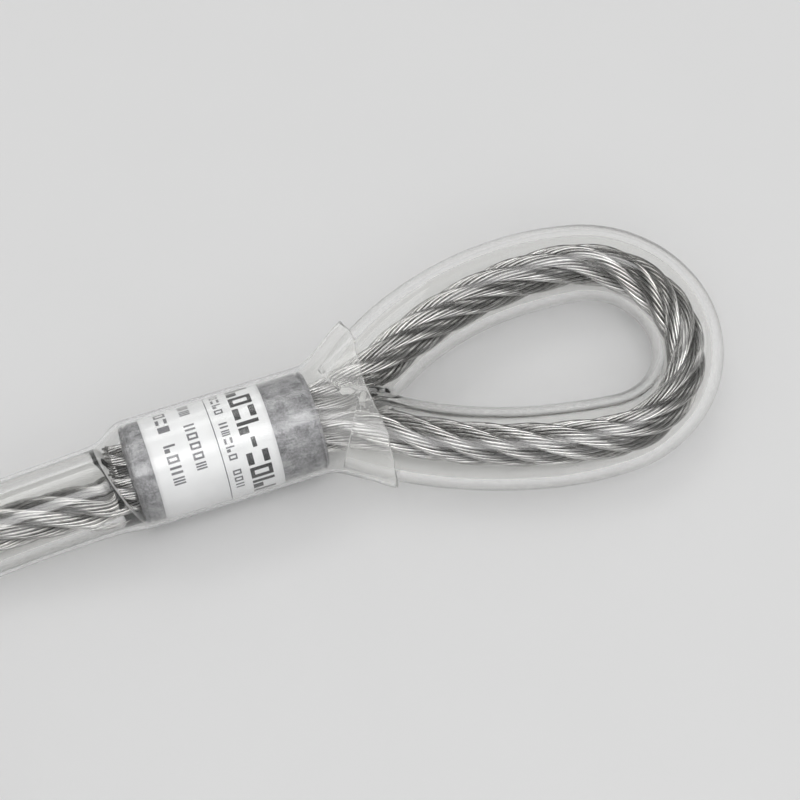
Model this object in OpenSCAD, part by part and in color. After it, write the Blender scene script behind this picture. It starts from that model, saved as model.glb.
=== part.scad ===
// Wire rope sling with a soft eye at each end.
// +X runs from the ferrule to the crown of the eye, +Z is up, z = 0 is the surface it lies on.
// The origin is under the middle of the near eye end.

/* [Rope] */
// Diameter of the wire rope
rope_d = 8; // [7:0.5:9]
// Length in which a strand makes one turn round the rope
lay_length = 50; // [42:1:60]
// Rope diameter inside the ferrule as a share of its free diameter
pressed_share = 0.82; // [0.78:0.01:0.84]
// Length of cut rope that stands out of the ferrule beside the leg
dead_end = 2; // [1:0.5:2.5]

/* [Eye] */
// Radius of the rope's centreline round the crown
crown_r = 18; // [17.6:0.1:18.6]
// Angle that the crown turns through
crown_turn = 184.7; // [183:0.1:187]
// Radius and angle in which the standing leg turns outward from the ferrule
low_mouth = [27.3, 31.1]; // [25:0.1:30]
// Angle that the standing leg turns back through before the crown
low_leg_turn = 23.7; // [22:0.1:25]
// Angle that the returning leg turns through after the crown
high_leg_turn = 31.6; // [30:0.1:33]
// Radius in which the returning leg turns into the ferrule
high_mouth_r = 33.5; // [31:0.5:36]

/* [Ferrule and label] */
// Length of the pressed ferrule
ferrule_l = 34; // [32:0.5:38]
// Outside diameter of the pressed ferrule
ferrule_d = 18; // [17.6:0.1:18.2]
// Distance from the ferrule's axis to each leg
leg_offset = 3.45; // [3.4:0.05:3.6]
// Length of the label along the ferrule
label_l = 22; // [16:0.5:24]
// Distance from the ferrule's eye face to the label
label_gap = 8.5; // [6:0.5:9]

/* [Hoses and sleeve] */
// Outside diameter of the clear hoses
hose_d = 15; // [14.5:0.1:15.2]
// Bore of the clear hoses
hose_bore = 11; // [10.5:0.1:11.5]
// Wall of the shrink sleeve
sleeve_wall = 0.8; // [0.6:0.05:0.8]

/* [Hidden] */

$fn = 64;
rope_r = rope_d / 2;
hose_r = hose_d / 2;
bore_r = hose_bore / 2;
ferrule_r = ferrule_d / 2;
sleeve_r = ferrule_r + 0.25 + sleeve_wall;

// The ferrule's eye face in the part's frame, and how far the eye dips so that its crown rests too
face = [-6.8, 1.5, sleeve_r];
crown_reach = 70.2;
dip = asin((sleeve_r - hose_r) / crown_reach);

// Strands: six round a core, each as wide as the space on its circle lets it be
strand_circle = rope_r * 0.675;
strand_r = rope_r * 0.31;
core_r = rope_r * 0.33;
joint_inset = 0.02;
pinch_run = 9;
near_step = 5;
far_step = 6;
near_sides = 8;
far_sides = 6;

// Place and heading, as [x, y, heading], after one step, and after a distance along many steps.
// A step is [length, angle turned to the left].
function step_on(at, run, turn) =
    turn == 0
    ? [at.x + run * cos(at.z), at.y + run * sin(at.z), at.z]
    : let (r = run / (turn * PI / 180))
      [at.x + r * (sin(at.z + turn) - sin(at.z)), at.y - r * (cos(at.z + turn) - cos(at.z)), at.z + turn];
function along(steps, run, at, i = 0) =
    i == len(steps) - 1 || run <= steps[i][0]
    ? step_on(at, run, steps[i][1] * run / steps[i][0])
    : along(steps, run - steps[i][0], step_on(at, steps[i][0], steps[i][1]), i + 1);
function total(steps, i = 0) = i == len(steps) ? 0 : steps[i][0] + total(steps, i + 1);
function arc_l(radius, angle) = radius * angle * PI / 180;
function flat(v) = [v.x, v.y];

// The loop of rope outside the ferrule. The two long legs get the lengths that bring it back to the
// ferrule beside where it began.
high_mouth_turn = crown_turn + low_leg_turn + high_leg_turn - low_mouth[1] - 180;
low_mouth_l = arc_l(low_mouth[0], low_mouth[1]);
crown_l = arc_l(crown_r, crown_turn);
high_mouth_l = arc_l(high_mouth_r, high_mouth_turn);
low_leg_start = -low_mouth[1];
crown_start = low_leg_start + low_leg_turn;
high_leg_start = crown_start + crown_turn;
high_mouth_start = high_leg_start + high_leg_turn;
low_leg_way = flat(step_on([0, 0, low_leg_start], 1, low_leg_turn));
high_leg_way = flat(step_on([0, 0, high_leg_start], 1, high_leg_turn));
still_to_go = [0, 2 * leg_offset]
    - flat(step_on([0, 0, 0], low_mouth_l, -low_mouth[1]))
    - flat(step_on([0, 0, crown_start], crown_l, crown_turn))
    - flat(step_on([0, 0, high_mouth_start], high_mouth_l, -high_mouth_turn));
function crossed(a, b) = a.x * b.y - a.y * b.x;
low_leg_l = crossed(still_to_go, high_leg_way) / crossed(low_leg_way, high_leg_way);
high_leg_l = crossed(low_leg_way, still_to_go) / crossed(low_leg_way, high_leg_way);

// The rope's way from the leg side of the ferrule round the eye and back
eye_way = [
    [ferrule_l, 0],
    [low_mouth_l, -low_mouth[1]],
    [low_leg_l, low_leg_turn],
    [crown_l, crown_turn],
    [high_leg_l, high_leg_turn],
    [high_mouth_l, -high_mouth_turn],
    [ferrule_l + dead_end, 0],
];
eye_l = total(eye_way);

// The hose bows further out than the rope along the legs, and less round the crown
hose_start = [4, -2.2, -37.8];
hose_way = [[51.3, 34.9], [53.9, 172.3], [53, 52.8]];

// Everything past the ferrule's face turns down with the eye
function dipped(p) = p.x <= 0 ? p : [p.x * cos(dip) + p.z * sin(dip), p.y, p.z * cos(dip) - p.x * sin(dip)];

// Share of the free rope size at a distance along the way: less in the ferrule than outside it
function eased(t) = let (u = min(1, max(0, t))) u * u * (3 - 2 * u);
function size_at(run) =
    let (out = min(run - ferrule_l, eye_l - ferrule_l - dead_end - run))
    pressed_share + (1 - pressed_share) * eased(out / pinch_run);

// One ring of a strand, across the rope. A circle of 0 is the core.
function strand_ring(run, phase, circle, radius, sides) =
    let (at = along(eye_way, run, [-ferrule_l, -leg_offset, 0]))
    let (k = size_at(run))
    let (turn = phase + 360 * run / lay_length)
    [for (j = [0 : sides - 1])
        let (a = 360 * j / sides)
        let (w = k * (circle * cos(turn) + radius * cos(a)))
        let (h = k * (circle * sin(turn) + radius * sin(a)))
        dipped([at.x - w * sin(at.z), at.y + w * cos(at.z), h])];

// Rings of a round tube along points, one radius for each point
function unit(v) = v / norm(v);
function round_ring(points, i, radius, sides) =
    let (t = unit(points[min(i + 1, len(points) - 1)] - points[max(i - 1, 0)]))
    let (n = unit(cross([0, 0, 1], t)))
    let (b = cross(t, n))
    [for (j = [0 : sides - 1]) points[i] + radius * (cos(360 * j / sides) * n + sin(360 * j / sides) * b)];

// Solid through rings in order. A closed one joins its last ring to its first, as a pipe's walls do.
module skin(rings, closed = false) {
    sides = len(rings[0]);
    last = len(rings) - 1;
    walls = [for (i = [0 : closed ? last : last - 1], j = [0 : sides - 1])
        let (up = (i + 1) % (last + 1))
        let (next = (j + 1) % sides)
        [i * sides + j, up * sides + j, up * sides + next, i * sides + next]];
    ends = closed ? [] : [[for (j = [0 : sides - 1]) j], [for (j = [sides - 1 : -1 : 0]) last * sides + j]];
    polyhedron(points = [for (ring = rings) each ring], faces = concat(walls, ends));
}

// Route of the leg hose from the ferrule, in the ferrule's frame, until the coil takes over
hose_route = [[-36.5, -1, 0], [-44, -1.1, -0.4], [-54, -1.2, -1.1], [-66, -1.6, -2], [-80, -2, -2.55],
    [-90, -2, -2.55], [-100, -2, -2.55]];
rope_route = [[-34, -3.45, 0], [-38, -3.3, 0], [-43, -2.8, -0.4], [-50, -2.1, -0.8], [-58, -1.6, -1.4],
    [-66, -1.6, -2], [-80, -2, -2.55], [-90, -2, -2.55], [-100, -2, -2.55]];
// Below the ferrule's axis, the height at which the hose lies on the surface
lie_z = hose_r - sleeve_r;

// Coil: three half turns, each wider than the one before, about centres on one line across the leg
coil_x = -164;
half_turns = [60, 68, 76];
leg_y = -2;
pitch = half_turns[1] - half_turns[0];
coil_y = leg_y - half_turns[0];
crossing_z = lie_z + hose_d + 0.4;
far_leg = 30;
far_shift = [coil_x + far_leg + ferrule_l, 2 * (half_turns[1] - half_turns[0] - half_turns[2]), 0];

// Outline of the sleeve: place along X, then middle y and z, half width and half height outside
sleeve_stations = [
    [-64, -1.5, -1.9, hose_r + 0.65, hose_r + 0.65],
    [-54, -1.2, -1.1, hose_r + 0.65, hose_r + 0.65],
    [-44, -1.1, -0.4, hose_r + 0.65, hose_r + 0.65],
    [-39, -0.9, -0.1, hose_r + 0.9, hose_r + 0.9],
    [-36, -0.4, 0, sleeve_r - 0.9, sleeve_r - 0.9],
    [-33.6, 0, 0, sleeve_r - 0.1, sleeve_r - 0.1],
    [-32, 0, 0, sleeve_r, sleeve_r],
    [-17, 0, 0, sleeve_r, sleeve_r],
    [0, 0, 0, sleeve_r, sleeve_r],
    [1.5, 0, -0.05, sleeve_r + 0.4, sleeve_r - 0.2],
    [4, 0, -0.15, sleeve_r + 2.4, sleeve_r - 0.8],
    [7, 0, -0.25, sleeve_r + 4.8, sleeve_r - 1],
    [10, 0, -0.35, sleeve_r + 7, sleeve_r - 1],
];
sleeve_sides = 32;
// Past this place along X the sleeve is stretched over the leg hose and its wall is thinner
stretched_x = -40;
stretched_wall = 0.55;
// One ring of the sleeve: a round whose two sides are moved apart by as much as it is wider than high
function oval_ring(s, wall) =
    let (r = s[4] - wall)
    let (apart = s[3] - s[4])
    [for (j = [0 : sleeve_sides - 1])
        let (a = 360 * j / sleeve_sides)
        let (share = min(1, 4 * cos(a) * cos(a)))
        [s[0], s[1] + r * cos(a) + apart * sign(cos(a)) * share, s[2] + r * sin(a)]];

module near_end() { translate(face) children(); }
module far_end() { translate(face + far_shift) children(); }
module lying() { rotate([0, 90, 0]) children(); }

// Pressed ferrule: a barrel with rounded rims and a bore for each leg
module ferrule() {
    rim = 0.6;
    bore_clearance = 0.08;
    color("silver") difference() {
        translate([-ferrule_l, 0, 0]) lying() rotate_extrude() polygon([
            [0, 0], [ferrule_r - rim, 0], [ferrule_r, rim],
            [ferrule_r, ferrule_l - rim], [ferrule_r - rim, ferrule_l], [0, ferrule_l]]);
        for (side = [-1, 1])
            translate([-ferrule_l - 1, side * leg_offset, 0]) lying()
                cylinder(r = rope_r * pressed_share + bore_clearance, h = ferrule_l + 2);
    }
}

// Label: one strip round the ferrule whose ends stop short of each other underneath
module label() {
    gap = 24;
    film = 0.14;
    clearance = 0.02;
    color("white") translate([-label_gap - label_l, 0, 0]) lying()
        rotate([0, 0, gap / 2]) rotate_extrude(angle = 360 - gap)
            translate([ferrule_r + clearance, 0]) square([film, label_l]);
}

module shrink_sleeve() {
    outside = [for (s = sleeve_stations) oval_ring(s, 0)];
    inside = [for (i = [len(sleeve_stations) - 1 : -1 : 0])
        let (s = sleeve_stations[i])
        oval_ring(s, s[0] < stretched_x ? stretched_wall : sleeve_wall)];
    color("whitesmoke", 0.4) skin(concat(outside, inside), closed = true);
}

module hose_section(inset = 0) {
    difference() {
        circle(r = hose_r - inset);
        circle(r = bore_r + inset);
    }
}

// One arc of the eye hose, which runs on a little at its end or its start
function hose_at(index) =
    index == 0 ? hose_start : step_on(hose_at(index - 1), hose_way[index - 1][0], hose_way[index - 1][1]);
module hose_arc(index, inset, before, after) {
    run = hose_way[index][0];
    turn = hose_way[index][1];
    at = hose_at(index);
    r = run / (turn * PI / 180);
    translate([at.x - r * sin(at.z), at.y + r * cos(at.z), 0]) rotate([0, 0, at.z - 90 - before])
        rotate_extrude(angle = turn + before + after) translate([r, 0]) hose_section(inset);
}

// The space on one side of the line midway between the two legs, clear of the ferrule. The line
// passes through the crotch, where the two legs press together.
crotch = [5.2, -0.2, 0];
crotch_turn = -3.7;
module beside(side) {
    reach = 60;
    back = 4.9;
    half_gap = 0.5;
    translate(crotch) rotate([0, 0, crotch_turn])
        translate([reach / 2 - back, side * (reach / 2 + half_gap), 0])
            cube([reach, reach, reach], center = true);
}

// Clear hose round the eye: a pipe round the crown, and one along each leg whose inner side is cut back
// where the two legs press together
module eye_hose() {
    color("gainsboro", 0.4) rotate([0, dip, 0]) {
        hose_arc(1, 0, 0, 0);
        intersection() {
            hose_arc(0, joint_inset, 0, 0.3);
            beside(-1);
        }
        intersection() {
            hose_arc(2, joint_inset, 0.3, 0);
            beside(1);
        }
    }
}

module strand(index, step, sides) {
    count = ceil(eye_l / step);
    color("darkgray") skin([for (i = [0 : count])
        strand_ring(eye_l * i / count, 60 * index, strand_circle, strand_r, sides)]);
}

module core_strand(step, sides) {
    count = ceil(eye_l / step);
    color("gray") skin([for (i = [0 : count])
        strand_ring(eye_l * i / count, 0, 0, core_r, sides)]);
}

module leg_rope() {
    pressed_r = rope_r * pressed_share;
    growth = 0.2;
    radii = [for (i = [0 : len(rope_route) - 1]) min(rope_r, pressed_r + growth * i)];
    color("darkgray") skin([for (i = [0 : len(rope_route) - 1]) round_ring(rope_route, i, radii[i], 12)]);
}

module leg_hose() {
    last = len(hose_route) - 1;
    outside = [for (i = [0 : last]) round_ring(hose_route, i, hose_r, 12)];
    inside = [for (i = [last : -1 : 0]) round_ring(hose_route, i, bore_r, 12)];
    color("gainsboro", 0.4) skin(concat(outside, inside), closed = true);
}

// Coil of the leg: the last half turn lies outside the first, and the middle one passes over the leg
module leg_coil() {
    overlap = 0.01;
    past_bottom = 5;
    hose_gap = 2.5;
    stub_l = hose_route[len(hose_route) - 1].x - coil_x;
    color("gainsboro") {
        translate([coil_x, coil_y, 0]) rotate([0, 0, 90]) rotate_extrude(angle = 180) {
            for (r = [half_turns[0], half_turns[2]]) translate([r, lie_z]) circle(r = hose_r);
            translate([half_turns[0], lie_z - hose_r]) square([2 * pitch, hose_d]);
        }
        translate([coil_x, coil_y + pitch, 0]) rotate([0, 0, -90]) rotate_extrude(angle = 90 + past_bottom)
            translate([half_turns[1], lie_z]) circle(r = hose_r);
        translate([coil_x, coil_y + pitch, 0]) rotate_extrude(angle = 90) {
            translate([half_turns[1], crossing_z]) circle(r = hose_r);
            translate([half_turns[1] - hose_r, lie_z]) square([hose_d, crossing_z - lie_z]);
            translate([half_turns[1], lie_z]) circle(r = hose_r);
        }
        translate([coil_x - overlap, leg_y, lie_z]) lying() cylinder(r = hose_r, h = stub_l);
        translate([coil_x - overlap, coil_y - half_turns[2], lie_z]) lying()
            cylinder(r = hose_r - 0.1, h = far_leg - hose_gap);
    }
}

near_end() ferrule();
near_end() label();
near_end() shrink_sleeve();
near_end() eye_hose();
near_end() core_strand(near_step, near_sides);
near_end() strand(1, near_step, near_sides);  // strand_1
near_end() strand(2, near_step, near_sides);  // strand_2
near_end() strand(3, near_step, near_sides);  // strand_3
near_end() strand(4, near_step, near_sides);  // strand_4
near_end() strand(5, near_step, near_sides);  // strand_5
near_end() strand(6, near_step, near_sides);  // strand_6
near_end() leg_rope();
near_end() leg_hose();
near_end() leg_coil();
far_end() ferrule();  // far_ferrule
far_end() shrink_sleeve();  // far_sleeve
far_end() eye_hose();  // far_eye_hose
far_end() core_strand(far_step, far_sides);  // far_core_strand
far_end() strand(1, far_step, far_sides);  // far_strand_1
far_end() strand(2, far_step, far_sides);  // far_strand_2
far_end() strand(3, far_step, far_sides);  // far_strand_3
far_end() strand(4, far_step, far_sides);  // far_strand_4
far_end() strand(5, far_step, far_sides);  // far_strand_5
far_end() strand(6, far_step, far_sides);  // far_strand_6
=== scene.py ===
"""Looks of a wire rope sling with a soft eye at each end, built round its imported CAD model.

Lengths are worked out in millimetres in the ferrule's frame, whose origin is the middle of the
ferrule's eye face and whose +X runs to the crown of the eye, and are placed in metres at the end.
"""

import bpy
import numpy as np
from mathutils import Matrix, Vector


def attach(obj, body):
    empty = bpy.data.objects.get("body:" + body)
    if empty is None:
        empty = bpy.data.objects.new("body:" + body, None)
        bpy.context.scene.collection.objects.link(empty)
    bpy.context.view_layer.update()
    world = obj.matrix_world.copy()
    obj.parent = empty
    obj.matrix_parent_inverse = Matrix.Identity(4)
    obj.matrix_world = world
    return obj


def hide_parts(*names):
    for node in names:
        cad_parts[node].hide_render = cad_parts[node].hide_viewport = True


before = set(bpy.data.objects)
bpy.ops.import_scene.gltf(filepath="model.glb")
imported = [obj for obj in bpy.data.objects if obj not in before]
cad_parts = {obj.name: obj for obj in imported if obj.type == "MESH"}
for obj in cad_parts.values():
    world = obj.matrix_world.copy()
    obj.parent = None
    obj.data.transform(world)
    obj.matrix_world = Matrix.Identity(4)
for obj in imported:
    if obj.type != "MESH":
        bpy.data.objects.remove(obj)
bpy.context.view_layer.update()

MM = 0.001

# Where the near ferrule's face is in the part's frame, and the far end's place from the near one
FACE = np.array([-6.8, 1.5, 10.05])
FAR_SHIFT = np.array([-100.0, -136.0, 0.0])
HERE = np.zeros(3)

# Length in which a strand turns once round the rope, and a wire once round its strand
LAY = 50.0
WIRE_LAY = 18.0
# Share of the rope's free size inside the ferrule, and the run in which it grows back outside
PRESSED = 0.82
PINCH_RUN = 9.0
STRAND_CIRCLE = 2.68
STRAND_R = 1.31
WIRE_R = 0.272
WIRES = 11
# The filler's radius is this many wire radii less than the strand's. The filler is painted near black, as
# shade seen between the wires
FILLER_INSET = 1.62
FILLER_SIDES = 8
# How far a wire strays round its strand, in radians, and in and out of it
WIRE_STRAY = 0.02
WIRE_RISE = 0.018
# Moves each wire's surface pattern along from its neighbour's
PATTERN_GAP = 50
HOSE_R = 7.5
BORE_R = 5.5
FERRULE_L = 34.0
FERRULE_R = 9.0
LEG_OFFSET = 3.45
# Cut rope that stands out of the ferrule, and how unevenly its wires end
DEAD_END = 3.1
CUT_SPREAD = 0.7
SLEEVE_R = 10.05
# Height of a hose that lies on the surface, and how far the eye dips so that its crown rests too
LIE_Z = HOSE_R - SLEEVE_R
CROWN_REACH = 70.2
DIP = np.arcsin((SLEEVE_R - HOSE_R) / CROWN_REACH)


# ---------------------------------------------------------------- camera

def aim(obj, target):
    obj.rotation_euler = (Vector(target) - obj.location).to_track_quat("-Z", "Y").to_euler()


def heading(azimuth, elevation):
    a, e = np.radians([azimuth, elevation])
    return Vector((np.sin(a) * np.cos(e), -np.cos(a) * np.cos(e), np.sin(e)))


VIEW_FROM = (-19.0, 64.1)
VIEW_DISTANCE = 0.45
target = Vector((9.0, 0.2, 10.05)) * MM
camera = bpy.data.objects.new("camera", bpy.data.cameras.new("camera"))
bpy.context.collection.objects.link(camera)
camera.data.lens = 112.5
camera.data.sensor_width = 36
camera.data.clip_start = 0.01
camera.location = target + heading(*VIEW_FROM) * VIEW_DISTANCE
aim(camera, target)
bpy.context.scene.camera = camera


# ---------------------------------------------------------------- lines and rings

def way(steps, start, runs):
    """Points and headings, at distances along a chain of [length, left turn in degrees]."""
    runs = np.asarray(runs, float)
    x, y, h = start[0], start[1], np.radians(start[2])
    out = np.zeros((len(runs), 3))
    begin = 0.0
    for i, (length, turn) in enumerate(steps):
        bend = np.radians(turn) / length
        last = i == len(steps) - 1
        here = (runs >= begin) & ((runs < begin + length) | last)
        s = runs[here] - begin
        if bend == 0:
            out[here] = np.stack([x + s * np.cos(h), y + s * np.sin(h), h + 0 * s], 1)
            x, y = x + length * np.cos(h), y + length * np.sin(h)
        else:
            a = h + bend * s
            across = (np.sin(a) - np.sin(h)) / bend
            out[here] = np.stack([x + across, y - (np.cos(a) - np.cos(h)) / bend, a], 1)
            end = h + bend * length
            x, y, h = x + (np.sin(end) - np.sin(h)) / bend, y - (np.cos(end) - np.cos(h)) / bend, end
        begin += length
    return out[:, :2], out[:, 2]


def dipped(p):
    """Everything past the ferrule's face turns down with the eye."""
    out = p.copy()
    past = p[..., 0] > 0
    out[..., 0] = np.where(past, p[..., 0] * np.cos(DIP) + p[..., 2] * np.sin(DIP), p[..., 0])
    out[..., 2] = np.where(past, p[..., 2] * np.cos(DIP) - p[..., 0] * np.sin(DIP), p[..., 2])
    return out


def unit(v):
    return v / np.linalg.norm(v, axis=-1, keepdims=True)


def frames(points):
    """Directions forward, left and up along a line."""
    t = unit(np.gradient(points, axis=0))
    side = unit(np.cross([0.0, 0.0, 1.0], t))
    return t, side, np.cross(t, side)


def distances(points):
    """How far each point is along the line from its start."""
    return np.concatenate([[0], np.cumsum(np.linalg.norm(np.diff(points, axis=0), axis=1))])


def smooth(t):
    t = np.clip(t, 0, 1)
    return t * t * (3 - 2 * t)


def eased_line(points, step):
    """A smooth line through points, sampled about every step."""
    p = np.array(points, float)
    run = distances(p)
    slope = np.gradient(p, run, axis=0)
    at = np.linspace(0, run[-1], max(2, int(round(run[-1] / step)) + 1))
    i = np.clip(np.searchsorted(run, at) - 1, 0, len(run) - 2)
    w = (run[i + 1] - run[i])[:, None]
    u = ((at - run[i])[:, None]) / w
    return ((2 * u**3 - 3 * u**2 + 1) * p[i] + (u**3 - 2 * u**2 + u) * w * slope[i]
            + (3 * u**2 - 2 * u**3) * p[i + 1] + (u**3 - u**2) * w * slope[i + 1])


def resampled(points, step):
    """The same line with its points about a step apart."""
    run = distances(points)
    at = np.linspace(0, run[-1], int(round(run[-1] / step)) + 1)
    return np.stack([np.interp(at, run, points[:, k]) for k in range(3)], 1)


# ---------------------------------------------------------------- meshes

def new_object(name, verts, faces, material, values=None, shift=HERE):
    """A mesh from millimetre points in the ferrule's frame. values are numbers kept on its points."""
    mesh = bpy.data.meshes.new(name)
    placed = (np.asarray(verts, float).reshape(-1, 3) + FACE + shift) * MM
    mesh.from_pydata(placed.tolist(), [], faces)
    for key, numbers in (values or {}).items():
        kept_on_points = mesh.attributes.new(key, "FLOAT", "POINT").data
        kept_on_points.foreach_set("value", np.asarray(numbers, np.float32).ravel())
    mesh.polygons.foreach_set("use_smooth", [True] * len(mesh.polygons))
    mesh.materials.append(material)
    obj = bpy.data.objects.new(name, mesh)
    bpy.context.collection.objects.link(obj)
    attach(obj, "root")
    return obj


def grid_faces(rows, columns, start=0, close_rows=False):
    """Faces of a grid of points whose columns close on themselves."""
    i = np.arange(rows if close_rows else rows - 1)[:, None]
    j = np.arange(columns)[None, :]
    up, across = (i + 1) % rows, (j + 1) % columns
    quads = np.stack([i * columns + j, i * columns + across,
                      up * columns + across, up * columns + j], -1)
    return (quads.reshape(-1, 4) + start).tolist()


def solid_faces(rows, columns, start=0):
    """The same, with both ends closed."""
    first = list(range(start + columns - 1, start - 1, -1))
    last = list(range(start + (rows - 1) * columns, start + rows * columns))
    return grid_faces(rows, columns, start) + [first, last]


def rings(points, wide, high, sides):
    """Oval rings along a line: wide is the reach to the left, high the reach up."""
    _, side, up = frames(points)
    a = np.arange(sides) * 2 * np.pi / sides
    wide = np.broadcast_to(wide, len(points))[:, None, None]
    high = np.broadcast_to(high, len(points))[:, None, None]
    return (points[:, None] + wide * np.cos(a)[None, :, None] * side[:, None]
            + high * np.sin(a)[None, :, None] * up[:, None])


def tube(line, a, b, radius, sides):
    """Round rings along a line in the planes of a and b, one radius for each point."""
    turn = (np.arange(sides) * 2 * np.pi / sides)[None, :, None]
    return line[:, None] + radius[:, None, None] * (np.cos(turn) * a[:, None] + np.sin(turn) * b[:, None])


def strand(name, points, phase, size, material, sides, circle=STRAND_CIRCLE, shift=HERE, ragged=0.0):
    """One strand: wires laid round a filler that keeps light from passing between them, and whose near-black
    colour is painted shade between the wires. phase is its place round the rope, size its share of the free
    size, and ragged how unevenly its wires end."""
    run = distances(points)
    _, side, up = frames(points)
    turn = np.radians(phase) + 2 * np.pi * run / LAY
    out = np.cos(turn)[:, None] * side + np.sin(turn)[:, None] * up
    middle = points + (circle * size)[:, None] * out
    t = unit(np.gradient(middle, axis=0))
    b = unit(np.cross(t, out))
    a = np.cross(b, t)
    local = np.random.default_rng(int(phase) % 360 + 11)
    spin = -2 * np.pi * run / WIRE_LAY
    core = middle.copy()
    core[-1] -= t[-1] * ragged
    verts = [tube(core, a, b, (STRAND_R - FILLER_INSET * WIRE_R) * size, FILLER_SIDES).reshape(-1, 3)]
    faces = solid_faces(len(points), FILLER_SIDES)
    # A tone of 0 marks the filler, which the steel material paints near black as shade between the wires
    tone = [np.full(len(points) * FILLER_SIDES, 0.0)]
    along = [np.repeat(run, FILLER_SIDES)]
    start = len(points) * FILLER_SIDES
    for j in range(WIRES):
        wander = WIRE_STRAY * np.sin(run / local.uniform(7, 15) + local.uniform(0, 6.28))
        angle = spin + 2 * np.pi * j / WIRES + wander
        rise = WIRE_RISE * np.sin(run / local.uniform(9, 21) + local.uniform(0, 6.28))
        away = np.cos(angle)[:, None] * a + np.sin(angle)[:, None] * b
        line = middle + ((STRAND_R - WIRE_R + rise) * size)[:, None] * away
        line[-1] += ragged * (local.uniform(-0.9, 0.9) * t[-1] + local.uniform(0, 0.3) * away[-1])
        wt = unit(np.gradient(line, axis=0))
        wb = unit(np.cross(wt, away))
        verts.append(tube(line, np.cross(wb, wt), wb, WIRE_R * size, sides).reshape(-1, 3))
        faces += solid_faces(len(points), sides, start)
        tone.append(np.full(len(points) * sides, local.uniform(0.25, 1)))
        along.append(np.repeat(run + PATTERN_GAP * j, sides))
        start += len(points) * sides
    values = {"tone": np.concatenate(tone), "along": np.concatenate(along)}
    return new_object(name, np.concatenate(verts), faces, material, values, shift)


def pipe(name, outer, inner, material, cut, shift=HERE, values=None):
    """A thick wall between two grids of rings. Its two end faces have a material of their own."""
    rows, sides = outer.shape[:2]
    both = np.concatenate([outer, inner[::-1]])
    obj = new_object(name, both, grid_faces(2 * rows, sides, close_rows=True), material, values, shift)
    obj.data.materials.append(cut)
    for row in (rows - 1, 2 * rows - 1):
        for face in range(row * sides, (row + 1) * sides):
            obj.data.polygons[face].material_index = 1
            obj.data.polygons[face].use_smooth = False
    return obj


# ---------------------------------------------------------------- materials

def blank(name):
    mat = bpy.data.materials.new(name)
    mat.use_nodes = True
    tree = mat.node_tree
    tree.nodes.clear()
    return mat, tree


def add(tree, kind, inputs=None, **props):
    """A node with its properties, and its inputs set to a value or linked from a socket."""
    node = tree.nodes.new("ShaderNode" + kind)
    for key, value in props.items():
        setattr(node, key, value)
    for key, value in (inputs or {}).items():
        socket = node.inputs[key]
        if isinstance(value, bpy.types.NodeSocket):
            tree.links.new(value, socket)
        else:
            socket.default_value = value
    return node


def noise(tree, where, scale, detail=3.0, rough=0.55):
    return add(tree, "TexNoise", {"Vector": where, "Scale": scale, "Detail": detail,
                                  "Roughness": rough}).outputs[0]


def ramp(tree, value, low, high, to_low=0.0, to_high=1.0):
    return add(tree, "MapRange", {"Value": value, "From Min": low, "From Max": high,
                                  "To Min": to_low, "To Max": to_high}).outputs[0]


def mixed(tree, factor, dark, light):
    """Between two colours, each of which is a socket or three numbers."""
    node = add(tree, "Mix", data_type="RGBA")
    tree.links.new(factor, node.inputs[0])
    for socket, colour in ((node.inputs[6], dark), (node.inputs[7], light)):
        if isinstance(colour, tuple):
            socket.default_value = (*colour, 1)
        else:
            tree.links.new(colour, socket)
    return node.outputs[2]


def bump(tree, height, distance, strength=1.0):
    return add(tree, "Bump", {"Height": height, "Distance": distance, "Strength": strength}).outputs[0]


def finish(tree, shader):
    tree.links.new(shader, add(tree, "OutputMaterial").inputs[0])


# Near black painted on the filler inside each strand: painted shade seen in the gaps between the wires
PAINTED_GAP_SHADE = (0.025, 0.025, 0.023)


def steel(name, light, dark, rough):
    """Bright drawn wire: each wire has its own tone, with drawing lines along it. The filler inside each
    strand is painted near black as shade between the wires.
    """
    mat, tree = blank(name)
    tone = add(tree, "Attribute", attribute_name="tone").outputs["Fac"]
    along = add(tree, "Attribute", attribute_name="along").outputs["Fac"]
    where = add(tree, "TexCoord").outputs["Object"]
    stretch = add(tree, "CombineXYZ", {"X": along, "Y": tone}).outputs[0]
    patches = noise(tree, stretch, 0.35)
    scuffs = noise(tree, where, 2500.0, 2.0)
    mottle = add(tree, "Math", {0: tone, 1: patches}, operation="MULTIPLY").outputs[0]
    colour = mixed(tree, ramp(tree, mottle, 0.05, 0.6), dark, light)
    # A tone of 0 marks the filler, which gets the near-black painted shade between the wires
    colour = mixed(tree, ramp(tree, tone, 0.05, 0.2), PAINTED_GAP_SHADE, colour)
    shader = add(tree, "BsdfPrincipled", {
        "Base Color": colour, "Metallic": 1.0,
        "Roughness": ramp(tree, scuffs, 0.3, 0.7, rough - 0.06, rough + 0.08),
        "Normal": bump(tree, scuffs, 0.000004, 0.5)})
    finish(tree, shader.outputs[0])
    return mat


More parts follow.
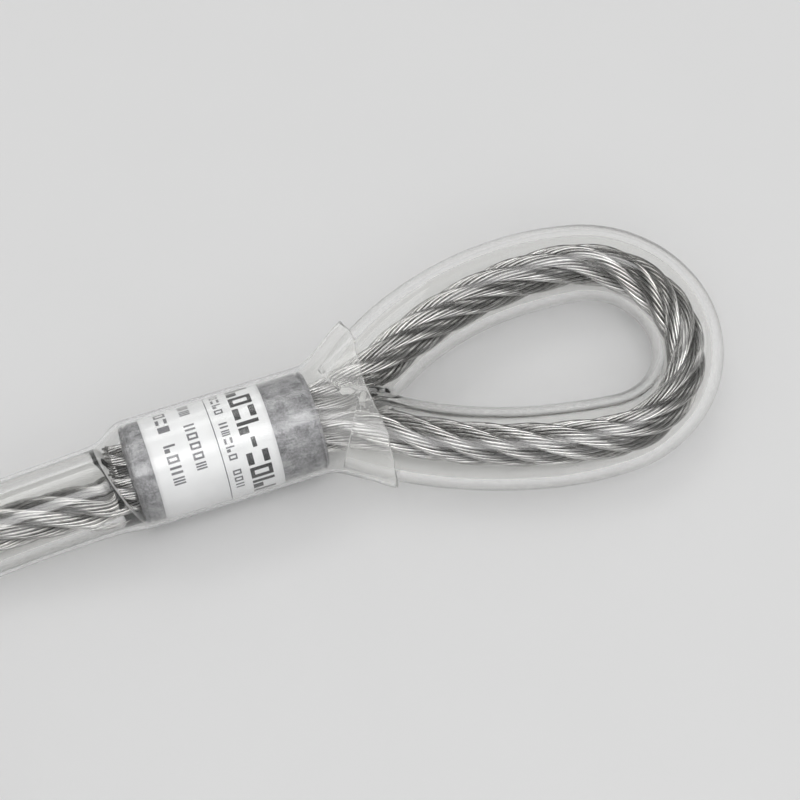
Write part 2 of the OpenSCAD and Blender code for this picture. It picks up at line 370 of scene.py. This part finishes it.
def aluminium():
    """Pressed aluminium: dull, mottled, with scuffs along it and small pits."""
    mat, tree = blank("pressed_aluminium")
    where = add(tree, "TexCoord").outputs["Object"]
    long_way = add(tree, "Mapping", {"Vector": where, "Scale": (0.25, 1.0, 1.0)}).outputs[0]
    blotches = noise(tree, where, 330.0, 4.0, 0.65)
    lines = noise(tree, long_way, 1500.0, 3.0, 0.6)
    grain = noise(tree, where, 3000.0, 2.0)
    cells = add(tree, "TexVoronoi", {"Vector": where, "Scale": 620.0}).outputs["Distance"]
    pits = ramp(tree, cells, 0.06, 0.16)
    both = add(tree, "Math", {0: blotches, 1: 0.5, 2: 0.0}, operation="MULTIPLY_ADD").outputs[0]
    both = add(tree, "Math", {0: lines, 1: 0.25, 2: both}, operation="MULTIPLY_ADD").outputs[0]
    both = add(tree, "Math", {0: grain, 1: 0.25, 2: both}, operation="MULTIPLY_ADD").outputs[0]
    colour = mixed(tree, ramp(tree, both, 0.4, 0.6), (0.17, 0.17, 0.178), (0.44, 0.44, 0.45))
    height = add(tree, "Math", {0: lines, 1: grain}, operation="ADD").outputs[0]
    height = add(tree, "Math", {0: pits, 1: 1.5, 2: height}, operation="MULTIPLY_ADD").outputs[0]
    shader = add(tree, "BsdfPrincipled", {
        "Base Color": colour, "Metallic": 0.5,
        "Roughness": ramp(tree, both, 0.4, 0.6, 0.72, 0.55),
        "Normal": bump(tree, height, 0.00006, 0.6)})
    finish(tree, shader.outputs[0])
    return mat


def clear(name, tint, ior, rough, haze, wave, shadow, shine, by_place=False):
    """Clear plastic: refracting walls that let lamps through, with slow waves in the surface and a haze.
    by_place takes the shares of the haze and of the roughness from numbers kept on the points."""
    mat, tree = blank(name)
    where = add(tree, "TexCoord").outputs["Object"]
    slow = noise(tree, where, 45.0, 1.0)
    fine = noise(tree, where, 700.0, 3.0)
    normal = bump(tree, slow, wave, 1.0)
    patchy = ramp(tree, noise(tree, where, 160.0, 3.0), 0.3, 0.7, haze * 0.7, haze * 1.3)
    blur = ramp(tree, fine, 0.3, 0.7, rough[0], rough[1])
    if by_place:
        milk_share, dull_share = (
            add(tree, "Attribute", attribute_name=n).outputs["Fac"] for n in ("milk", "dull"))
        patchy = add(tree, "Math", {0: patchy, 1: milk_share}, operation="MULTIPLY").outputs[0]
        blur = add(tree, "Math", {0: blur, 1: dull_share}, operation="MULTIPLY").outputs[0]
    glass = add(tree, "BsdfPrincipled", {
        "Base Color": mixed(tree, slow, tint, tuple(min(1, c + 0.012) for c in tint)),
        "Roughness": blur, "IOR": ior, "Transmission Weight": 1.0, "Specular IOR Level": shine,
        "Normal": normal}).outputs[0]
    milk = add(tree, "BsdfPrincipled", {
        "Base Color": (0.93, 0.93, 0.915, 1), "Roughness": 0.4, "Specular IOR Level": shine}).outputs[0]
    body = add(tree, "MixShader", {0: patchy, 1: glass, 2: milk}).outputs[0]
    through = add(tree, "BsdfTransparent", {"Color": (*shadow, 1)}).outputs[0]
    is_shadow = add(tree, "LightPath").outputs["Is Shadow Ray"]
    finish(tree, add(tree, "MixShader", {0: is_shadow, 1: body, 2: through}).outputs[0])
    return mat


def film(name, dark, light, rough):
    """Matt label film or ink, with a fine tooth."""
    mat, tree = blank(name)
    where = add(tree, "TexCoord").outputs["Object"]
    soft = noise(tree, where, 220.0, 3.0)
    fibre = noise(tree, where, 4200.0, 2.0)
    shader = add(tree, "BsdfPrincipled", {
        "Base Color": mixed(tree, ramp(tree, soft, 0.3, 0.7), dark, light),
        "Roughness": ramp(tree, fibre, 0.3, 0.7, rough - 0.06, rough + 0.08),
        "Normal": bump(tree, fibre, 0.00002, 0.3)})
    finish(tree, shader.outputs[0])
    return mat


WIRE = steel("bright_wire", (0.90, 0.895, 0.88), (0.40, 0.395, 0.385), 0.18)
ALUMINIUM = aluminium()
HOSE = clear("clear_hose", tint=(0.985, 0.985, 0.976), ior=1.42, rough=(0.0, 0.01), haze=0.008,
             wave=0.000006, shadow=(0.992, 0.992, 0.988), shine=0.1)
SLEEVE = clear("clear_sleeve", tint=(0.99, 0.99, 0.985), ior=1.35, rough=(0.08, 0.12), haze=0.12,
               wave=0.00002, shadow=(0.99, 0.99, 0.986), shine=0.05, by_place=True)
CUT = clear("cut_plastic", tint=(0.985, 0.982, 0.962), ior=1.2, rough=(0.4, 0.6), haze=0.7,
            wave=0.0001, shadow=(0.98, 0.98, 0.97), shine=0.3)
LABEL = film("label_film", (0.74, 0.745, 0.75), (0.80, 0.805, 0.81), 0.6)
INK = film("print_black", (0.012, 0.012, 0.013), (0.03, 0.03, 0.032), 0.45)
GREY_INK = film("print_grey", (0.10, 0.10, 0.11), (0.17, 0.17, 0.18), 0.5)


# ---------------------------------------------------------------- routes

def arc_length(radius, angle):
    return radius * np.radians(angle)


CROWN_R, CROWN_TURN = 18.0, 184.7
LOW_MOUTH = (27.3, 31.1)
LOW_TURN, HIGH_TURN, HIGH_MOUTH_R = 23.7, 31.6, 33.5


def eye_route():
    """The rope's way from the leg side of the ferrule round the eye and back, as in the CAD."""
    mouth_turn = CROWN_TURN + LOW_TURN + HIGH_TURN - LOW_MOUTH[1] - 180
    steps = [
        [FERRULE_L, 0], [arc_length(*LOW_MOUTH), -LOW_MOUTH[1]], [1.0, LOW_TURN],
        [arc_length(CROWN_R, CROWN_TURN), CROWN_TURN], [1.0, HIGH_TURN],
        [arc_length(HIGH_MOUTH_R, mouth_turn), -mouth_turn], [FERRULE_L + DEAD_END, 0]]

    def moved(index, start_heading):
        points, _ = way([steps[index]], (0, 0, start_heading), [0, steps[index][0]])
        return points[1] - points[0]

    turned = np.cumsum([0] + [s[1] for s in steps])
    rest = np.array([0, 2 * LEG_OFFSET]) - moved(1, turned[1]) - moved(3, turned[3]) - moved(5, turned[5])
    low, high = np.linalg.solve(np.stack([moved(2, turned[2]), moved(4, turned[4])], 1), rest)
    steps[2][0], steps[4][0] = low, high
    return steps


EYE = eye_route()
EYE_L = sum(s[0] for s in EYE)
HOSE_START = (4.0, -2.2, -37.8)
HOSE_WAY = [[51.3, 34.9], [53.9, 172.3], [53.0, 52.8]]
HOSE_L = sum(s[0] for s in HOSE_WAY)

HOSE_ROUTE = [[-36.5, -1, 0], [-44, -1.1, -0.4], [-54, -1.2, -1.1], [-66, -1.6, -2], [-80, -2, LIE_Z],
              [-90, -2, LIE_Z], [-100, -2, LIE_Z]]
ROPE_ROUTE = [[-34, -3.45, 0], [-38, -3.3, 0], [-43, -2.8, -0.4], [-50, -2.1, -0.8], [-58, -1.6, -1.4],
              [-66, -1.6, -2], [-80, -2, LIE_Z], [-90, -2, LIE_Z], [-100, -2, LIE_Z]]
COIL_X, LEG_Y = -164.0, -2.0
HALF_TURNS = (60.0, 68.0, 76.0)
PITCH = HALF_TURNS[1] - HALF_TURNS[0]
COIL_Y = LEG_Y - HALF_TURNS[0]
CROSSING_Z = LIE_Z + 2 * HOSE_R + 0.4
HUMP_REACH = 92.0


def coil_line(step):
    """The coil's middle line, from where the leg has come down to the surface to the far ferrule."""
    x = np.arange(-100 - step, COIL_X, -step)
    parts = [np.stack([x, 0 * x + LEG_Y, 0 * x + LIE_Z], 1)]
    crossing = np.arcsin((LEG_Y - COIL_Y - PITCH) / HALF_TURNS[1])
    for radius, centre_y, first in ((HALF_TURNS[0], COIL_Y, 0.5), (HALF_TURNS[1], COIL_Y + PITCH, 1.5),
                                    (HALF_TURNS[2], COIL_Y, 0.5)):
        a = np.arange(0, np.pi, step / radius) + first * np.pi
        parts.append(np.stack([COIL_X + radius * np.cos(a), centre_y + radius * np.sin(a), 0 * a + LIE_Z], 1))
    line = np.concatenate(parts)
    run = distances(line)
    top = -100 - COIL_X + np.pi * HALF_TURNS[0] + HALF_TURNS[1] * (np.pi / 2 + crossing) - step
    hump = np.clip(np.abs(run - top) / HUMP_REACH, 0, 1)
    line[:, 2] += (CROSSING_Z - LIE_Z) * (0.5 + 0.5 * np.cos(np.pi * hump))
    return line


def whole_leg(near, step):
    """A leg from the near ferrule to the far one: near is its route until it lies on the surface."""
    first = eased_line(near, step)
    far_y = COIL_Y - HALF_TURNS[2]
    rise = [[COIL_X, far_y, LIE_Z], [COIL_X + 8, far_y, LIE_Z + 0.1], [COIL_X + 18, far_y + 0.2, LIE_Z + 1.2]]
    far = [np.array(p) + FAR_SHIFT for p in near[:2]][::-1]
    last = eased_line(rise + [list(p) for p in far], step)
    return resampled(np.concatenate([first, coil_line(step), last]), step)


# ---------------------------------------------------------------- the leg: hose and rope through the coil

LEG_SIDES = 56
# The hose's cut end leans by these shares of the distance from its middle, sideways and up, and the
# lean fades out in this many rings
RIM_SLANT = (0.193, 0.246)
SLANT_RINGS = 3
# Rings of the rope are this far apart as far as the view reaches, and twice as far after that
ROPE_STEP = 0.6
SEEN_RUN = 45

hose_line = whole_leg(HOSE_ROUTE, 3.0)
leg_outer = rings(hose_line, HOSE_R, HOSE_R, LEG_SIDES)
leg_inner = rings(hose_line, BORE_R, BORE_R, LEG_SIDES)
slant = np.clip(1 - np.arange(len(hose_line)) / SLANT_RINGS, 0, 1)[:, None]
for grid in (leg_outer, leg_inner):
    off = grid - hose_line[:, None]
    grid[..., 0] -= slant * (RIM_SLANT[0] * off[..., 1] + RIM_SLANT[1] * off[..., 2])
leg_hose = pipe("leg_hose_clear", leg_outer, leg_inner, HOSE, CUT)

rope_line = whole_leg(ROPE_ROUTE, ROPE_STEP)
rope_run = np.arange(len(rope_line)) * ROPE_STEP
kept = (rope_run < SEEN_RUN) | (np.arange(len(rope_run)) % 2 == 0)
rope_line, rope_run = rope_line[kept], rope_run[kept]
from_end = np.minimum(rope_run, rope_run[-1] - rope_run)
leg_size = PRESSED + (1 - PRESSED) * smooth(from_end / PINCH_RUN)
for index in range(7):
    core = index == 0
    strand(
        "leg_core" if core else f"leg_strand_{index}", rope_line, 0 if core else 180 - 60 * index,
        leg_size, WIRE, 6, circle=0 if core else STRAND_CIRCLE)
    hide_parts("leg_rope")
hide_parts("leg_hose", "leg_coil")


# ---------------------------------------------------------------- the eye: rope, hose, ferrule, sleeve

def eye_line(step, inside_step):
    """Middle line of the rope through the ferrule and round the eye, coarser inside the ferrule."""
    out, back = FERRULE_L, EYE_L - FERRULE_L - DEAD_END
    runs = np.concatenate([
        np.arange(0, out - 2, inside_step), np.arange(out - 2, back + 2, step),
        np.arange(back + 2, EYE_L - 4, inside_step), np.arange(EYE_L - 4, EYE_L, step), [EYE_L]])
    xy, _ = way(EYE, (-FERRULE_L, -LEG_OFFSET, 0), runs)
    line = dipped(np.concatenate([xy, np.zeros((len(xy), 1))], 1))
    share = np.minimum(runs - out, back - runs) / PINCH_RUN
    return line, PRESSED + (1 - PRESSED) * smooth(share)


def eye_rope(prefix, step, sides, shift):
    made = []
    line, size = eye_line(step, 2.4)
    for index in range(7):
        core = index == 0
        node = f"{prefix}core_strand" if core else f"{prefix}strand_{index}"
        piece = strand(node + "_wires", line, 0 if core else 60 * index, size, WIRE, sides,
                       circle=0 if core else STRAND_CIRCLE, shift=shift, ragged=CUT_SPREAD)
        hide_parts(node)
        made.append(piece)
    return made


# Lengths cut off the hose's two ends, and how each cut leans: aside in degrees, and upward as a share
HOSE_TRIM = (2.2, 0.4)
END_SLANT = (8.0, -17.0)
END_RAKE = (-0.092, -0.354)
LEAN_RUN = 8
# The hose is narrower and higher round the crown, and eases into that over twice this run
CROWN_EASE = 12
CROWN_NARROWS, CROWN_RISES = 0.95, 0.35
# One end rides up and the other down where they pass each other
END_LIFT, LIFT_RUN = 0.6, 16
# The ends are pressed flat against the line between the two legs, outer and inner wall this far from it
CROTCH = np.array([5.2, -0.2])
CROTCH_TURN = np.radians(3.7)
PRESSED_WALLS = (0.03, 2.03)
PRESSED_RUN = 26


def eye_hose(name, node, shift, step=0.8, sides=72):
    """The clear hose round the eye, oval round the crown and pressed flat where its ends meet."""
    runs = np.linspace(HOSE_TRIM[0], HOSE_L - HOSE_TRIM[1], int(HOSE_L / step) + 1)
    xy, head = way(HOSE_WAY, HOSE_START, runs)
    from_start, to_end = runs - runs[0], runs[-1] - runs
    crown_from = HOSE_WAY[0][0] - CROWN_EASE
    crown_to = HOSE_WAY[0][0] + HOSE_WAY[1][0] + CROWN_EASE
    crown = smooth((runs - crown_from) / (2 * CROWN_EASE)) * smooth((crown_to - runs) / (2 * CROWN_EASE))
    flat = np.concatenate([xy, np.zeros((len(xy), 1))], 1)
    flat[:, 2] += CROWN_RISES * crown
    flat[:, 2] += END_LIFT * (smooth(1 - from_start / LIFT_RUN) - smooth(1 - to_end / LIFT_RUN))
    grids = [rings(flat, radius - CROWN_NARROWS * crown, radius + CROWN_RISES * crown, sides)
             for radius in (HOSE_R, BORE_R)]
    forward = np.stack([np.cos(head), np.sin(head)], 1)
    left = np.stack([-np.sin(head), np.cos(head)], 1)
    across = np.array([np.sin(CROTCH_TURN), np.cos(CROTCH_TURN)])
    sign = np.where(runs < HOSE_L / 2, -1, 1)[:, None]
    near_start, near_end = (np.clip(1 - d / LEAN_RUN, 0, 1)[:, None] for d in (from_start, to_end))
    lean = np.tan(np.radians(END_SLANT[0])) * near_start + np.tan(np.radians(END_SLANT[1])) * near_end
    rake = END_RAKE[0] * near_start + END_RAKE[1] * near_end
    pressed = np.minimum(from_start, to_end)[:, None] < PRESSED_RUN
    for grid, wall in zip(grids, PRESSED_WALLS):
        aside = np.einsum("ijk,ik->ij", grid[..., :2] - xy[:, None], left)
        grid[..., :2] -= (aside * lean + grid[..., 2] * rake)[..., None] * forward[:, None]
        far = (grid[..., :2] - CROTCH) @ across
        over = np.where(pressed, np.clip(wall - far * sign, 0, None), 0)
        grid[..., :2] += (over * sign)[..., None] * across
    outer, inner = (dipped(g) for g in grids)
    piece = pipe(name, outer, inner, HOSE, CUT, shift)
    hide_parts(node)
    return piece


# Where the two lines left by the press are round the ferrule, in degrees, and how wide in radians
SEAMS = (119, 299)
SEAM_WIDTH = 0.045


def ferrule_body(name, node, shift):
    """Pressed ferrule: a barrel with rolled rims, slightly domed ends and a press seam along it."""
    rim = 0.7
    ends = np.linspace(0, np.pi / 2, 7)
    profile = [(-FERRULE_L - 0.35, 0.0), (-FERRULE_L - 0.3, 4.0), (-FERRULE_L - 0.1, 7.2)]
    rounded = [(rim * (1 - np.sin(a)), FERRULE_R - rim * (1 - np.cos(a)) - 0.02) for a in ends]
    profile += [(-FERRULE_L + inward, r) for inward, r in rounded]
    profile += [(x, FERRULE_R + 0.05 * np.sin(np.pi * (x + FERRULE_L) / FERRULE_L))
                for x in np.linspace(-32.4, -1.6, 40)]
    profile += [(-inward, r) for inward, r in rounded[::-1]]
    profile += [(0.02, 7.2), (0.1, 4.0), (0.15, 0.0)]
    p = np.array(profile)
    sides = 144
    a = np.arange(sides) * 2 * np.pi / sides
    seam = sum(np.exp(-(((a - np.radians(s) + np.pi) % (2 * np.pi) - np.pi) / SEAM_WIDTH) ** 2)
               for s in SEAMS)
    waves = 0.03 * np.sin(3 * a + 0.4) + 0.02 * np.sin(7 * a)
    full = smooth((p[:, 1] - 8.0) / 1.0)[:, None]
    r = p[:, 1][:, None] + full * (0.09 * seam + waves)[None]
    grid = np.stack([np.broadcast_to(p[:, 0][:, None], r.shape), r * np.cos(a), r * np.sin(a)], -1)
    piece = new_object(name, grid, grid_faces(len(p), sides), ALUMINIUM, None, shift)
    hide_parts(node)
    return piece


# Place along X, then middle y and z, half width and half height outside, and wall
SLEEVE_STATIONS = np.array([
    [-64, -1.5, -1.9, 8.15, 8.15, 0.5], [-54, -1.2, -1.1, 8.12, 8.12, 0.5], [-44, -1.1, -0.4, 8.15, 8.15, 0.5],
    [-41, -1.1, -0.2, 8.2, 8.2, 0.55], [-38.5, -1.0, -0.1, 8.4, 8.35, 0.6], [-37, -0.7, 0, 8.85, 8.8, 0.65],
    [-35.4, -0.25, 0, 9.55, 9.5, 0.7], [-34.2, 0, 0, 9.95, 9.9, 0.75], [-33, 0, 0, 10.03, 10.03, 0.68],
    [-26, 0, 0, 10.02, 10.02, 0.66], [-17, 0, 0, 10.05, 10.05, 0.68], [-8, 0, 0, 10.02, 10.02, 0.66],
    [-1, 0, 0, 10.0, 10.0, 0.68], [0.6, 0, -0.02, 10.2, 9.85, 0.7], [2.2, 0, -0.08, 11.15, 9.55, 0.65],
    [4.2, 0, -0.15, 12.6, 9.3, 0.6], [6.4, 0.05, -0.22, 14.3, 9.15, 0.55], [8.4, 0.05, -0.3, 15.9, 9.1, 0.55],
    [10.1, 0.05, -0.35, 17.0, 9.05, 0.5]])


def sleeve(name, node, shift, sides=96):
    """Clear shrink sleeve: tight on the ferrule and the leg hose, and open like a fish's tail at the eye."""
    s = SLEEVE_STATIONS
    x = np.concatenate([np.arange(-64, -44, 1.5), np.arange(-44, -30, 0.5), np.arange(-30, -1, 1.2),
                        np.arange(-1, 10.1, 0.35), [10.1]])
    from_stations = [np.interp(x, s[:, 0], s[:, k]) for k in range(1, 6)]
    kernel = np.array([0.25, 0.5, 0.25])
    for _ in range(3):
        from_stations = [np.concatenate([[v[0]], np.convolve(v, kernel, "valid"), [v[-1]]])
                         for v in from_stations]
    y0, z0, wide, high, wall = from_stations
    a = np.arange(sides) * 2 * np.pi / sides
    c, sn = np.cos(a), np.sin(a)
    open_share = np.clip((x - 0.5) / 9.6, 0, 1)
    ripple = 0.05 * np.sin(5 * a[None] + x[:, None] * 0.5) + 0.04 * np.sin(9 * a[None] - x[:, None] * 0.35)
    grids = []
    for inset in (0 * wall, wall):
        w, h = (wide - inset)[:, None] + 0.04 * ripple, (high - inset)[:, None] + 0.04 * ripple
        squareness = 1 + 0.35 * open_share[:, None]
        yy = np.sign(c) * np.abs(c) ** (1 / squareness)
        zz = np.sign(sn) * np.abs(sn) ** (1 + 0.1 * open_share[:, None])
        y = y0[:, None] + w * yy
        z = z0[:, None] + h * zz + ripple * np.sign(sn) * open_share[:, None]
        valley = open_share[:, None] ** 1.5 * np.exp(-(((y - 1.0) / 2.4) ** 2))
        z -= np.sign(sn) * valley * 1.3
        grids.append(np.stack([np.broadcast_to(x[:, None], y.shape), y, z], -1))
    edge = smooth(open_share)[:, None]
    for g in grids:
        lobe = 0.75 * np.exp(-(((g[..., 1] - 10) / 3.2) ** 2))
        lobe -= 0.35 * np.exp(-(((g[..., 1] + 1) / 3.5) ** 2))
        lobe += 0.45 * np.exp(-(((g[..., 1] + 10) / 3.2) ** 2))
        g[..., 0] += edge**2 * (lobe + 0.08 * np.sin(1.7 * g[..., 1]))
    # Nearly clear over the leg hose, hazy over the ferrule, and milky at the open end
    place = np.concatenate([grids[0], grids[1][::-1]])[..., 0]
    values = {"milk": 0.04 + 0.1 * smooth((place + 35) / 1.5) + 0.86 * smooth((place + 0.4) / 4),
              "dull": 0.12 + 0.88 * smooth((place + 35) / 1.5) * smooth(1 - place / 1.5)}
    piece = pipe(name, grids[0], grids[1], SLEEVE, CUT, shift, values)
    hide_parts(node)
    return piece


eye_rope("", 0.8, 6, HERE)
far_strands = eye_rope("far_", 1.5, 5, FAR_SHIFT)
eye_hose("eye_hose_clear", "eye_hose", HERE)
far_hose = eye_hose("far_eye_hose_clear", "far_eye_hose", FAR_SHIFT, 2.0, 32)
ferrule_body("ferrule_pressed", "ferrule", HERE)
far_ferrule = ferrule_body("far_ferrule_pressed", "far_ferrule", FAR_SHIFT)
sleeve("shrink_sleeve_clear", "shrink_sleeve", HERE)
far_sleeve = sleeve("far_sleeve_clear", "far_sleeve", FAR_SHIFT, 64)


# ---------------------------------------------------------------- label and its generic print

LABEL_R = FERRULE_R + 0.2
LABEL_FILM = 0.14
LABEL_ENDS = (-78, 258)
LABEL_X = (-30.5, -8.5)
LABEL_ROWS, LABEL_COLUMNS = 23, 181
PRINT_R = LABEL_R + 0.02


def wrapped(x0, x1, start, end, radius):
    """Points and faces of a patch on the ferrule, between two angles measured from +Y over the top."""
    count = max(2, int(abs(end - start) / 2.5) + 2)
    a = np.radians(np.linspace(start, end, count))
    rows = [np.stack([np.full(count, x), radius * np.cos(a), radius * np.sin(a)], 1) for x in (x0, x1)]
    faces = [[i, i + 1, count + i + 1, count + i] for i in range(count - 1)]
    return np.concatenate(rows), faces


def label_sheet():
    """The label: a thin film round the ferrule, whose ends stop short of each other underneath."""
    a = np.radians(np.linspace(*LABEL_ENDS, LABEL_COLUMNS))
    x = np.linspace(*LABEL_X, LABEL_ROWS)[:, None]
    outer = np.stack([x + 0 * a, LABEL_R * np.cos(a) + 0 * x, LABEL_R * np.sin(a) + 0 * x], -1)
    inner = outer.copy()
    inner[..., 1:] *= (LABEL_R - LABEL_FILM) / LABEL_R
    loop = np.concatenate([outer, inner[:, ::-1]], 1)
    return new_object("label_sheet", loop, solid_faces(LABEL_ROWS, 2 * LABEL_COLUMNS), LABEL)


# Generic marks made of boxes: left, bottom, right and top as shares of a mark's width and height
SHAPES = {
    "ring": [(0, 0, 1, 0.18), (0, 0.82, 1, 1), (0, 0.18, 0.3, 0.82), (0.7, 0.18, 1, 0.82)],
    "step": [(0, 0, 0.3, 1), (0.45, 0, 1, 0.45)],
    "dash": [(0.1, 0.4, 0.9, 0.6)],
    "pair": [(0, 0, 1, 0.28), (0, 0.72, 1, 1)],
    "posts": [(0, 0, 0.32, 1), (0.68, 0, 1, 1)],
    "block": [(0, 0, 1, 1)],
    "comb": [(0, 0, 0.24, 1), (0.38, 0, 0.62, 1), (0.76, 0, 1, 1)],
    "gap": [],
}


def print_row(name, material, marks, start, base, height, width, spacing):
    """A row of generic marks round the ferrule, whose tops point to the eye."""
    verts, faces, count = [], [], 0
    degrees = 180 / np.pi / LABEL_R
    at = start
    for mark in marks:
        for x0, y0, x1, y1 in SHAPES[mark]:
            points, quads = wrapped(base + y0 * height, base + y1 * height,
                                    at + x0 * width * degrees, at + x1 * width * degrees, PRINT_R)
            verts.append(points)
            faces += [[i + count for i in q] for q in quads]
            count += len(points)
        at += (width + spacing) * degrees
    piece = new_object(name, np.concatenate(verts), faces, material)
    return piece


label = label_sheet()
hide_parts("label")
print_row("print_bold", INK,
          "posts step ring pair step dash pair ring step posts ring".split(),
          start=24, base=-14.3, height=4.0, width=2.25, spacing=0.55)
print_row("print_small", GREY_INK,
          "posts ring pair step ring gap posts comb pair step ring gap ring ring posts".split(),
          start=34, base=-17.3, height=1.5, width=1.0, spacing=0.45)
print_row("print_lower", GREY_INK,
          "comb comb gap posts ring ring ring comb".split(),
          start=44, base=-23.2, height=1.9, width=1.25, spacing=0.55)
print_row("print_load", GREY_INK,
          "ring pair block gap step ring posts comb".split(),
          start=46, base=-27.7, height=2.1, width=1.35, spacing=0.6)
rule_verts, rule_faces = wrapped(-18.5, -18.32, 30, 215, PRINT_R)
rule = new_object("print_rule", rule_verts, rule_faces, GREY_INK)


# ---------------------------------------------------------------- floor and light

def pale_floor():
    """A plain pale surface under the sling."""
    mat, tree = blank("floor_paper")
    where = add(tree, "TexCoord").outputs["Object"]
    colour = mixed(tree, noise(tree, where, 30.0), (0.78, 0.78, 0.78), (0.80, 0.80, 0.80))
    shader = add(tree, "BsdfPrincipled", {"Base Color": colour, "Roughness": 0.7,
                                          "Normal": bump(tree, noise(tree, where, 1200.0), 0.00002, 0.2)})
    finish(tree, shader.outputs[0])
    mesh = bpy.data.meshes.new("floor")
    reach = 6.0
    corners = [(-reach, -reach, 0), (reach, -reach, 0), (reach, reach, 0), (-reach, reach, 0)]
    mesh.from_pydata(corners, [], [[0, 1, 2, 3]])
    mesh.materials.append(mat)
    floor = bpy.data.objects.new("floor", mesh)
    bpy.context.collection.objects.link(floor)


def softbox(name, place, power, width, depth, colour=(1, 1, 1), glint_only=False):
    """A soft lamp that faces the sling. A glint_only one is seen in reflections but lights no surface."""
    light = bpy.data.lights.new(name, "AREA")
    light.shape = "RECTANGLE"
    light.size, light.size_y = width, depth
    light.energy = power
    light.color = colour
    obj = bpy.data.objects.new(name, light)
    bpy.context.collection.objects.link(obj)
    obj.location = place
    obj.visible_diffuse = not glint_only
    aim(obj, (0.01, 0, 0.01))


def surroundings():
    """An even pale room, but a dim one to whatever is seen reflected in the object."""
    world = bpy.data.worlds.new("world")
    world.use_nodes = True
    tree = world.node_tree
    tree.nodes.clear()
    up = add(tree, "SeparateXYZ", {"Vector": add(tree, "TexCoord").outputs["Generated"]}).outputs["Z"]
    dim = add(tree, "Background", {"Color": (1, 0.99, 0.98, 1),
                                   "Strength": ramp(tree, up, 0.1, 1.0, 0.0, 0.05)})
    even = add(tree, "Background", {"Color": (1, 1, 0.995, 1), "Strength": 0.57})
    rays = add(tree, "LightPath").outputs
    mirrored = add(tree, "Math", {0: rays["Glossy Depth"], 1: 0.5}, operation="GREATER_THAN").outputs[0]
    direct = add(tree, "Math", {0: rays["Diffuse Depth"], 1: 0.5}, operation="LESS_THAN").outputs[0]
    # Rays that have passed one to three clear walls see the even room
    walls = add(tree, "Math", {0: rays["Transmission Depth"], 1: 2, 2: 1.5}, operation="COMPARE").outputs[0]
    clear_of_walls = add(tree, "Math", {0: 1.0, 1: walls}, operation="SUBTRACT").outputs[0]
    share = add(tree, "Math", {0: mirrored, 1: direct}, operation="MULTIPLY").outputs[0]
    share = add(tree, "Math", {0: share, 1: clear_of_walls}, operation="MULTIPLY").outputs[0]
    both = add(tree, "MixShader", {0: share, 1: even.outputs[0], 2: dim.outputs[0]})
    tree.links.new(both.outputs[0], add(tree, "OutputWorld").inputs[0])
    bpy.context.scene.world = world


pale_floor()
surroundings()
softbox("key", (-0.12, 0.62, 0.80), 0.9, 0.6, 0.25)
softbox("top", (0.05, -0.22, 0.92), 1.9, 0.8, 0.4)
softbox("front", (-0.12, -0.72, 0.60), 0.75, 0.8, 0.4, (0.97, 0.97, 1.0))
softbox("side", (0.75, 0.10, 0.5), 0.4, 0.25, 0.25)
softbox("glint", (-0.02, -0.30, 0.86), 1.4, 0.8, 0.42, (0.98, 0.975, 1.0), glint_only=True)
softbox("rim_glint", (-0.25, 0.85, 0.42), 0.45, 0.7, 0.10, glint_only=True)

bpy.context.scene.view_settings.view_transform = "Standard"
